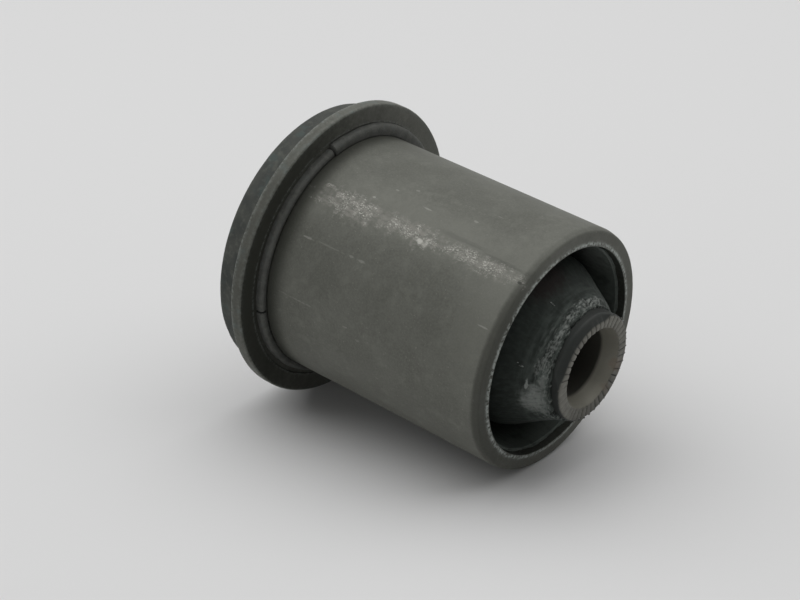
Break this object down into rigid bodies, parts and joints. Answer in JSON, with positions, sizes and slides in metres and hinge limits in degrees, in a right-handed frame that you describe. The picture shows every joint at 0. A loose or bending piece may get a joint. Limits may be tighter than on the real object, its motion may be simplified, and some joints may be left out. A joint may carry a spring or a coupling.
{
  "type": "control arm bushing",
  "caption": "Flanged rubber-bonded suspension bushing: bolt sleeve with serrated ends held in a press-fit outer sleeve by moulded rubber with a thrust pad.",
  "frame": {"origin": "on the bolt axis, at the rear face of the thrust pad that the bushing stands on", "axes": "+Z along the bolt axis from the thrust pad to the free end of the outer sleeve, -Y towards the middle of the pair of bead nicks seen in the picture"},
  "size_m": [0.0626, 0.0626, 0.0703],
  "materials": {
    "outer_steel": "dull grey phosphated steel",
    "inner_steel": "dull machined steel",
    "rubber": "matt black moulded rubber"
  },
  "bodies": {
    "root": {"outer_sleeve": "outer_steel", "inner_sleeve": "inner_steel", "rubber_bush": "rubber", "root_bead": "rubber"}
  },
  "joints": []
}
